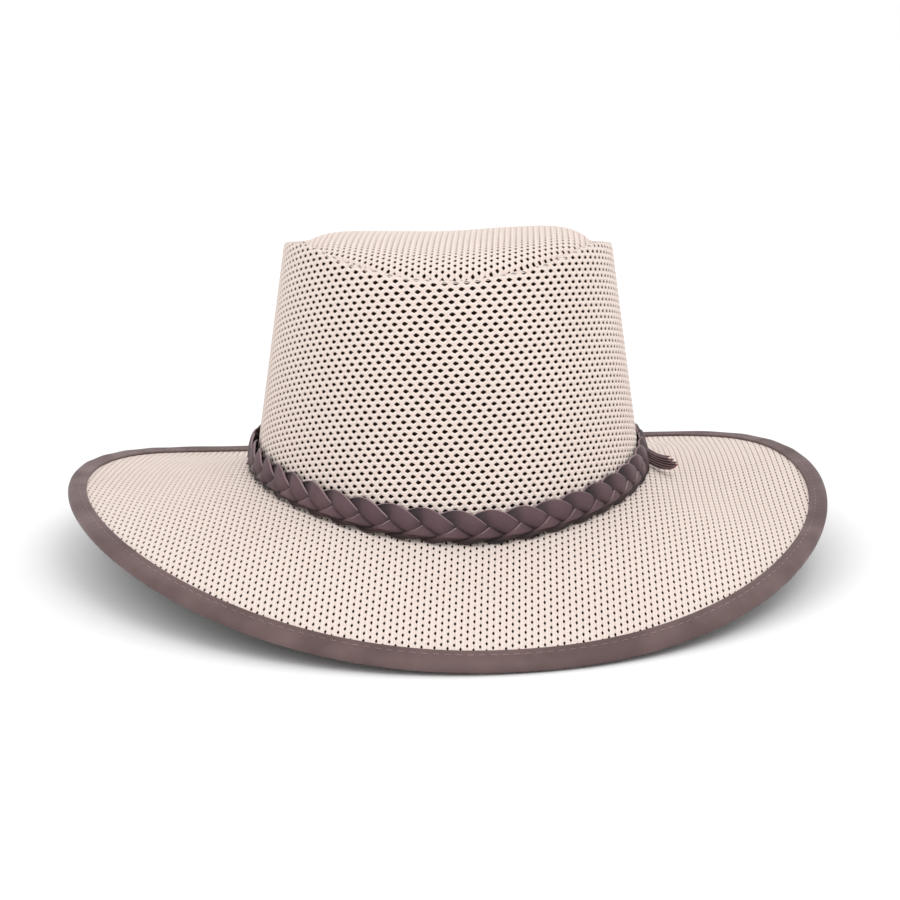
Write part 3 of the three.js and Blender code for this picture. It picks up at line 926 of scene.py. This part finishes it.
seam_line = brim_top(wall_turns, STITCH_LINE)
seam_length = run_length(seam_line, 0)
stitch_count = int(round(seam_length[-1] / STITCH_PITCH))
binding_turns = np.linspace(-np.pi, np.pi, stitch_count * STEPS_PER_STITCH + 1)[:-1]
along_seam = np.interp(binding_turns, wall_turns, seam_length) / seam_length[-1] * stitch_count


def binding_point(inset, above, turns, place):
    """Puckered most at the ends of the stitches, and waving slowly outside them."""
    near_seam = np.exp(-((inset - STITCH_LINE) / PUCKER_REACH) ** 2)
    pucker = PUCKER * near_seam * np.cos(2 * np.pi * place)
    ripple = RIPPLE * np.sin(place * 0.9 + 3 * np.sin(place * 0.13)) * (inset < STITCH_LINE)
    side = 1 if above > -MESH / 2 else -1
    return brim_top(turns, inset, above + side * (pucker + ripple * (above > 0)))


binding = ring_solid("binding_strip", [
    binding_point(inset * MM, above * MM, binding_turns, along_seam)
    for inset, above in BINDING_PROFILE])
dress(binding, "binding", "brim_binding", material=binding_leather)
print(stitch_count, "stitches round the binding")

# %% [markdown]
# ## Stitches
# One stitch is a short fat thread with its ends bent down into the needle holes. Geometry
# Nodes repeat it along a straight line and the wrapping group carries the line round the
# binding, once on top and once below.

# %% Node tree: a row of stitches
stitch_tree, given, result = new_tree("stitch_row", [
    ("Pattern", "Object"), ("Stitch", "Object"), ("Count", "Int"), ("Pitch", "Float"),
    ("Material", "Material")])
half_pitch = maths(stitch_tree, "MULTIPLY", given["Pitch"], 0.5)
line = node(stitch_tree, "GeometryNodeMeshLine", {
    "Count": given["Count"],
    "Start Location": node(stitch_tree, "ShaderNodeCombineXYZ", {0: half_pitch})[0],
    "Offset": node(stitch_tree, "ShaderNodeCombineXYZ", {0: given["Pitch"]})[0]})
row = node(stitch_tree, "GeometryNodeInstanceOnPoints", {
    "Points": line[0], "Instance": object_geometry(stitch_tree, given["Stitch"])})
on_hat = wrap(stitch_tree, realized(stitch_tree, row[0]), given["Pattern"])
finish_tree(stitch_tree, result, on_hat, given["Material"])

# %% Stitches of the binding
STITCH_LENGTH = 2.9 * MM
STITCH_RADIUS = 0.27 * MM
STITCH_SIDES = 6

# Rings of a stitch: place along it, thickness and height, as shares.
STITCH_RINGS = [(-0.5, 0.45, -0.9), (-0.42, 0.9, -0.1), (-0.2, 1.0, 0.3), (0.0, 1.0, 0.35),
                (0.2, 1.0, 0.3), (0.42, 0.9, -0.1), (0.5, 0.45, -0.9)]
stitch_points = [(STITCH_LENGTH * place, -STITCH_RADIUS * size * np.cos(angle),
                  STITCH_RADIUS * (height + size * np.sin(angle)))
                 for place, size, height in STITCH_RINGS
                 for angle in np.linspace(0, 2 * np.pi, STITCH_SIDES, endpoint=False)]
one_stitch = link_mesh("one_stitch", stitch_points, bar_faces(len(STITCH_RINGS), STITCH_SIDES))


def stitch_row(name, beside, heights, side):
    """One row of stitches, on rows of points beside the seam, at their heights in mm."""
    placed = np.array([binding_point(STITCH_LINE + inset, height * MM, wall_turns,
                                     0.5 + 0 * wall_turns)
                       for inset, height in zip(beside, heights)])
    flat = np.zeros(placed.shape)
    flat[..., 0] = seam_length
    flat[..., 1] = side * np.array(beside)[:, None]
    pattern = pattern_piece(name + "_pattern", placed, flat)
    dress(grow(empty_piece(name), stitch_tree, {
        "Pattern": pattern, "Stitch": one_stitch, "Count": stitch_count,
        "Pitch": float(seam_length[-1] / stitch_count), "Material": thread}), "binding")


stitch_row("stitches_above", [-MM, 0.0, MM], [1.05, 0.9, 1.0], 1)
stitch_row("stitches_below", [MM, 0.0, -MM], [-3.62, -3.5, -3.62], -1)

# %% [markdown]
# ## Braid
# Three flat laces cross over and under each other. Each one swings from edge to edge in a
# wave, a third of a wave behind the next, and dips under its neighbour twice in every wave.
# Where two of them meet in the upper half, the one that comes down is on top, so the big
# leaves lean as they do on the photograph. The foot of the braid turns out on to the brim and
# is bunched up there, so the path has less room than the flat braid in its lower half. The
# laces are laid out flat first, and the wrapping group then bends them round that path.

# %% Seat of the braid
LACES = 3
BRAID_LOBES = 45

# Out from the wall, up from the brim, and the place across the flat braid that goes there. The
# braid's length is measured along the row where it turns up the wall.
SEAT_PATH = [(4.2, 0.55, 0), (3.2, 0.5, 1.45), (2.3, 0.6, 2.75), (1.6, 1.1, 4.0),
             (1.3, 2.2, 5.6), (1.3, 3.4, 7.3), (1.4, 4.6, 9.0), (1.5, 7.0, 11.4),
             (1.2, 9.7, 14.4), (0.4, 12.9, 18.0)]
BEND_ROW = 3

seat_points = np.array([beside_crown(wall_turns, out * MM, up * MM) for out, up, _ in SEAT_PATH])
seat_up = np.array([place * MM for _, _, place in SEAT_PATH])
seat_round = run_length(seat_points[BEND_ROW], 0)
BRAID_LENGTH = seat_round[-1]
BRAID_WIDTH = seat_up[-1]
seat_flat = np.zeros(seat_points.shape)
seat_flat[..., 0] = seat_round
seat_flat[..., 1] = seat_up[:, None]
print("braid", round(BRAID_LENGTH / MM), "mm long and", round(BRAID_WIDTH / MM, 1), "mm wide")

# %% Lay out the three laces
LACE_WIDTH = 8.0 * MM
LACE_THICKNESS = 1.5 * MM
WEAVE_MIDDLE = 1.6 * MM
WEAVE_DEPTH = 0.85 * MM
WEAVE_SQUARENESS = 1.7
CREASE_DEPTH = 0.3
CREASE_SHADE = 0.85
BROWN_FOOT = 6.6 * MM
BROWN_FADE = 4.5 * MM
LACE_STEPS = 12

# Section of a lace, from its upper edge over its face to the lower one and back below: place across
# it, height through it, and how light it is painted. That last column is painted light and painted
# shade, lightest at the upper edge and dark at the lower edge and underneath.
LACE_SECTION = np.array([
    (0.5, -0.3, 0.5), (0.5, -0.1, 1.0), (0.46, 0.15, 1.0), (0.38, 0.32, 0.85),
    (0.2, 0.45, 0.9), (0.0, 0.5, 0.8), (-0.2, 0.45, 0.7), (-0.34, 0.36, 0.5),
    (-0.46, 0.12, 0.1), (-0.5, -0.12, 0.0), (-0.5, -0.3, 0.0), (-0.4, -0.4, 0.0),
    (0.0, -0.4, 0.0), (0.4, -0.4, 0.2)])
UPPER_EDGE, LOWER_EDGE = (0, 1), (8, 9)
UPPER_CREASE, LOWER_CREASE = 3, 7
around = len(LACE_SECTION)


def unit(vectors):
    return vectors / np.linalg.norm(vectors, axis=-1, keepdims=True)


def sweep(centres, forward, width, thickness, height=LACE_SECTION[:, 1]):
    """Points of a lace's section carried along its centres."""
    across = unit(np.cross((0, 0, 1), forward))[:, None]
    through = unit(np.cross(forward, across[:, 0]))[:, None]
    return (centres[:, None] + across * LACE_SECTION[:, :1] * width
            + through * np.broadcast_to(height, (len(centres), around))[..., None] * thickness)


def flat_lace(number):
    """One lace: its points, how light each is painted as painted light and shade, and how brown."""
    place = np.linspace(0, BRAID_LOBES, BRAID_LOBES * LACE_STEPS + 1)
    angle = 2 * np.pi * (place + number) / LACES
    slow = 2 * np.pi * place / BRAID_LOBES
    wander = 0.25 * np.sin(7 * slow + 2.1 * number) + 0.2 * np.sin(11 * slow + number)
    swing = (BRAID_WIDTH - LACE_WIDTH) / 2 * (1 + 0.1 * wander)
    over = -np.tanh(WEAVE_SQUARENESS * np.sin(2 * angle)) / np.tanh(WEAVE_SQUARENESS)
    centres = np.stack([BRAID_LENGTH * place / BRAID_LOBES,
                        BRAID_WIDTH / 2 + swing * np.sin(angle + 0.12 * wander),
                        WEAVE_MIDDLE + WEAVE_DEPTH * over], -1)
    forward = np.gradient(centres, axis=0)
    forward[[0, -1]] = centres[1] - centres[0] + centres[-1] - centres[-2]

    height = np.tile(LACE_SECTION[:, 1], (len(place), 1))
    # Painted shade: a lace is painted darker where it dives under its neighbour, and darker still in
    # its creases.
    light = np.tile(LACE_SECTION[:, 2], (len(place), 1)) * (0.53 + 0.47 * over[:, None])
    for crease, share in ((LOWER_CREASE, np.clip(-1.6 * np.sin(angle), 0, 1)),
                          (UPPER_CREASE, np.clip(1.6 * np.sin(angle), 0, 1)
                           * np.clip(2 * np.cos(angle), 0, 1))):
        height[:, crease] -= CREASE_DEPTH * share
        light[:, crease] *= 1 - CREASE_SHADE * share
    points = sweep(centres, forward, LACE_WIDTH, LACE_THICKNESS, height)
    brown = np.clip((BROWN_FOOT - points[..., 1]) / BROWN_FADE, 0, 1)
    return points, light, brown


lace_points, lace_light, lace_brown = map(np.array, zip(*[flat_lace(n) for n in range(LACES)]))
rings = lace_points.shape[1]
lace_faces = [face for lace in range(LACES)
              for face in bar_faces(rings, around, lace * rings * around, ends=False)]
braid = link_mesh("braid", lace_points, lace_faces)
keep(braid, "light", lace_light)
keep(braid, "brown", lace_brown)
# Painted highlight: only the upper cut edge of each lace gets the paler material.
keep(braid, "cut", [i % around in UPPER_EDGE for i in range(len(lace_faces))], "BOOLEAN", "FACE")
print("laces laid out in", len(lace_faces), "faces")

# %% [markdown]
# The leather of the laces is painted lightest where a leaf swells towards you, as painted light, and
# nearly black where one lace dives under the next, as painted shade. It is browner towards the foot
# of the braid.

# %% Leather of the laces
# Each colour comes as a copy in painted shade and a lit copy, mixed by the painted light value.
GREY_IN_SHADE, GREY_LIT = (0.011, 0.006, 0.008), (0.113, 0.062, 0.072)
MAROON_IN_SHADE, MAROON_LIT = (0.009, 0.003, 0.003), (0.085, 0.034, 0.031)

braid_leather, tree, surface, patch = leather("braid_leather", 0.52, 60.0, 1100.0, 0.3 * MM, 0.7)
light = maths(tree, "MULTIPLY_ADD", patch, 0.3, attribute(tree, "light"))
light = node(tree, "ShaderNodeMapRange", {"Value": light, "From Max": 1.25})[0]
grey = tone(tree, light, GREY_IN_SHADE, GREY_LIT)
maroon = tone(tree, light, MAROON_IN_SHADE, MAROON_LIT)
put(tree, surface.inputs["Base Color"], tone(tree, attribute(tree, "brown"), grey, maroon))
print("leather of the laces made")

# %% [markdown]
# The same wrapping group bends the laces, in a tree of its own that also closes the join at the
# back, where the two ends of each lace meet. Faces on the upper cut edges get the paler material.
# Partly it is the fabric that leather-look cloth shows there, and partly it is a painted highlight
# where the edge faces up to the light. The lower edges get none of it and stay dark, as painted
# shade.

# %% Bend the braid round the crown
LACE_WELD = 0.03 * MM

bend_tree, given, result = new_tree("bend_round_hat", [
    ("Geometry", "Geometry"), ("Pattern", "Object"), ("Leather", "Material"),
    ("Cut Edge And Highlight", "Material")])
joined = node(bend_tree, "GeometryNodeMergeByDistance", {
    "Geometry": wrap(bend_tree, given["Geometry"], given["Pattern"]),
    "Distance": LACE_WELD})
leathered = given_material(bend_tree, realized(bend_tree, joined[0]), given["Leather"])
put(bend_tree, result["Geometry"], given_material(
    bend_tree, leathered, given["Cut Edge And Highlight"], named(bend_tree, "cut", "BOOLEAN")))

seat_pattern = pattern_piece("seat_pattern", seat_points, seat_flat)
grow(braid, bend_tree, {"Pattern": seat_pattern, "Leather": braid_leather, "Cut Edge And Highlight": cut_edge_and_highlight})
dress(braid, "braid", "hat_band")

# %% [markdown]
# ## Lace ends
# At the wearer's left the knotted laces leave the braid as a short stack that droops on to the
# brim. Each is swept along its own curve, a little longer or shorter than the next, and its
# cut end shows the raw reddish inside.

# %% Lace ends
TAIL_TURN = np.radians(87)
TAIL_SWING = np.radians(3)
TAIL_FAN = 2 * MM
TAIL_OUT = 3.0 * MM
TAIL_THICKNESS = 0.9 * MM

# At the braid and at the cut end, in mm: the lowest lace above the brim, and lace above lace.
TAIL_LIFT = (2.3, 4.4)
TAIL_PITCH = (1.15, 1.0)
TAIL_DROOP = 1.2

# Lace by lace from the brim up, in mm: how far out it ends, its width, and how its end drops.
TAIL_LACES = [(11.4, 3.3, 0.0), (12.6, 3.2, 0.1), (13.5, 3.3, 0.0), (13.2, 3.0, 0.1),
              (11.9, 3.2, 0.3), (10.4, 2.9, 0.5)]

along = np.linspace(0, 1, 10)
side_index = [int(j in UPPER_EDGE + LOWER_EDGE) for j in range(around)] * (len(along) - 1)
tail_points, tail_faces, tail_index, tail_light, tail_brown = [], [], [], [], []
for number, (reach, width, sag) in enumerate(TAIL_LACES):
    lift = (mix(*TAIL_LIFT, along) - TAIL_DROOP * np.sin(np.pi * along)
            + number * mix(*TAIL_PITCH, along) - sag * along ** 2)
    centres = beside_crown(TAIL_TURN - TAIL_SWING * along, TAIL_OUT + reach * MM * along, lift * MM)
    level = number / (len(TAIL_LACES) - 1) - 0.5
    centres[:, 1] += TAIL_FAN * level * along
    forward = np.gradient(centres, axis=0)
    tail_points.append(sweep(centres, forward, width * MM, TAIL_THICKNESS))
    # Painted light and shade: the upper laces of the stack are painted lighter and the lower ones
    # darker.
    tail_light.append(np.full((len(along), around), 0.6 + 0.6 * level))
    tail_brown.append(np.full((len(along), around), np.clip(0.7 - 1.4 * level, 0, 1)))
    tail_faces += bar_faces(len(along), around, number * len(along) * around)
    tail_index += [*side_index, 2, 2]
tail = link_mesh("lace_ends", np.concatenate(tail_points), tail_faces)
keep(tail, "light", tail_light)
keep(tail, "brown", tail_brown)
for material in (braid_leather, cut_edge_and_highlight, raw_end):
    tail.data.materials.append(material)
tail.data.polygons.foreach_set("material_index", tail_index)
dress(tail, "lace_ends", "band_tail")
print("lace ends have", len(tail_faces), "faces")

# %% [markdown]
# ## Floor and light
# The photograph was taken on plain white with very even light. A large pale floor, a bright
# sky of even white, and two wide soft lamps from above give the same.

# %% Floor, sky and lamps
FLOOR_REACH = 20
FLOOR_WHITE = 0.92
SKY_STRENGTH = 1.1
LAMP_WIDTH = 1.2
LAMP_AIM = Vector((0, 0, 0.06))

for helper in (wide_holes, narrow_holes, one_stitch):
    bpy.data.objects.remove(helper)

floor = link_mesh("floor", [(x * FLOOR_REACH, y * FLOOR_REACH, 0)
                            for x, y in ((-1, -1), (1, -1), (1, 1), (-1, 1))],
                  [(0, 1, 2, 3)], smooth=False)
floor_white, tree, surface = new_material("floor_white", 0.9, 0.1)
surface.inputs["Base Color"].default_value = (FLOOR_WHITE, FLOOR_WHITE, FLOOR_WHITE, 1)
floor.data.materials.append(floor_white)

world = bpy.data.worlds.new("white_sky")
world.use_nodes = True
world.node_tree.nodes["Background"].inputs["Color"].default_value = (1, 1, 1, 1)
world.node_tree.nodes["Background"].inputs["Strength"].default_value = SKY_STRENGTH
bpy.context.scene.world = world
bpy.context.scene.view_settings.view_transform = "Standard"


def lamp(name, place, power):
    data = bpy.data.lights.new(name, "AREA")
    data.shape = "DISK"
    data.size = LAMP_WIDTH
    data.energy = power
    made = in_scene(name, data)
    made.location = place
    made.rotation_euler = (LAMP_AIM - made.location).to_track_quat("-Z", "Y").to_euler()


lamp("key", (0.6, -1.2, 1.8), 9)
lamp("fill", (-1.0, -1.0, 1.4), 2)
print("floor, sky and lamps placed")
